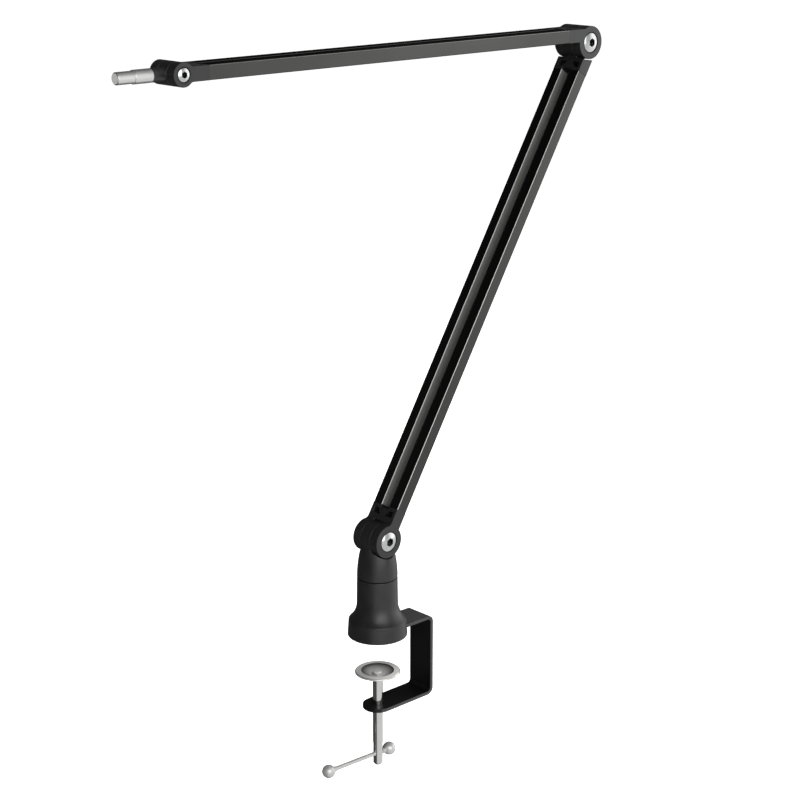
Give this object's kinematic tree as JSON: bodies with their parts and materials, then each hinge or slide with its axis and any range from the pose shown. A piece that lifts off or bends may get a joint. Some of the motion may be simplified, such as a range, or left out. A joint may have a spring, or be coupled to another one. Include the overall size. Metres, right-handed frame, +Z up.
{
  "type": "microphone boom arm",
  "caption": "Two-section friction boom arm with cable grooves, swivel base, C-shaped desk clamp with spindle and sliding bar, and a tilting stud for a microphone.",
  "frame": {"origin": "centre of the desk pad's underside, on the swivel's axis", "axes": "+Z up along the swivel's axis, +X towards the clamp bracket's spine and the elbow, -Y the side that the pivot screws face"},
  "size_m": [0.4582, 0.047, 0.5715],
  "materials": {
    "satin_black_casting": "satin black coat on die-cast aluminium",
    "black_anodised": "extruded aluminium, fine-matt black anodising with bright edges",
    "black_steel": "bent steel strip, black powder coat",
    "bright_chrome": "polished chrome plate on steel",
    "bright_screw": "bright zinc plate with turning rings",
    "turned_steel": "turned and ground steel",
    "plain_steel": "plain zinc-plated steel",
    "black_screw": "black oxide on steel",
    "bearing_plastic": "moulded bearing plastic",
    "pad_rubber": "moulded rubber"
  },
  "bodies": {
    "clamp": {"base_housing": "satin_black_casting", "desk_pad": "pad_rubber", "clamp_bracket": "black_steel", "bracket_screws": "plain_steel", "swivel_bush": "bearing_plastic"},
    "head": {"swivel_head": "satin_black_casting", "swivel_bolt": "plain_steel", "swivel_springs": "plain_steel"},
    "lower_arm": {"base_fork": "satin_black_casting", "lower_profile": "black_anodised", "elbow_tongue": "satin_black_casting", "lower_fixing_screws": "black_screw", "base_pivot_screw": "bright_screw", "base_pivot_nut": "bright_screw", "base_washers": "bearing_plastic", "base_disc_spring": "plain_steel"},
    "upper_arm": {"elbow_fork": "satin_black_casting", "upper_profile": "black_anodised", "mic_fork": "satin_black_casting", "upper_fixing_screws": "black_screw", "elbow_pivot_screw": "bright_screw", "elbow_pivot_nut": "bright_screw", "elbow_washers": "bearing_plastic", "elbow_disc_spring": "plain_steel", "mic_pivot_screw": "bright_screw", "mic_pivot_nut": "bright_screw", "mic_washers": "bearing_plastic"},
    "mic_mount": {"mic_knuckle": "satin_black_casting", "mic_stud": "turned_steel"},
    "disc": {"pressure_disc": "bright_chrome"},
    "spindle": {"clamp_spindle": "bright_chrome"},
    "handle": {"handle_bar": "bright_chrome", "handle_balls": "bright_chrome"}
  },
  "joints": [
    {"name": "head_swivel", "type": "hinge", "parent": "clamp", "child": "head", "pos_m": [0, 0, 0.0485], "axis": [0, 0, 1], "continuous": true},
    {"name": "base_tilt", "type": "hinge", "parent": "head", "child": "lower_arm", "pos_m": [0, 0, 0.0805], "axis": [0, 1, 0], "range_deg": [-116, 53]},
    {"name": "elbow_fold", "type": "hinge", "parent": "lower_arm", "child": "upper_arm", "pos_m": [0.21886, 0, 0.44484], "axis": [0, -1, 0], "range_deg": [-120, 56.5]},
    {"name": "mic_tilt", "type": "hinge", "parent": "upper_arm", "child": "mic_mount", "pos_m": [-0.18114, 0, 0.45084], "axis": [0, 1, 0], "range_deg": [-100, 100]},
    {"name": "spindle_travel", "type": "slide", "parent": "clamp", "child": "disc", "axis": [0, 0, 1], "range_m": [-0.0235, 0.03]},
    {"name": "spindle_turn", "type": "hinge", "parent": "disc", "child": "spindle", "pos_m": [0, 0, -0.07], "axis": [0, 0, 1], "range_deg": [-6800, 8700]},
    {"name": "handle_slide", "type": "slide", "parent": "spindle", "child": "handle", "axis": [0.9986, -0.0523, 0], "range_m": [-0.0007, 0.0391]}
  ],
  "couplings": [
    {"joint": "spindle_turn", "follows": "spindle_travel", "rad_per_m": 5026.5}
  ]
}
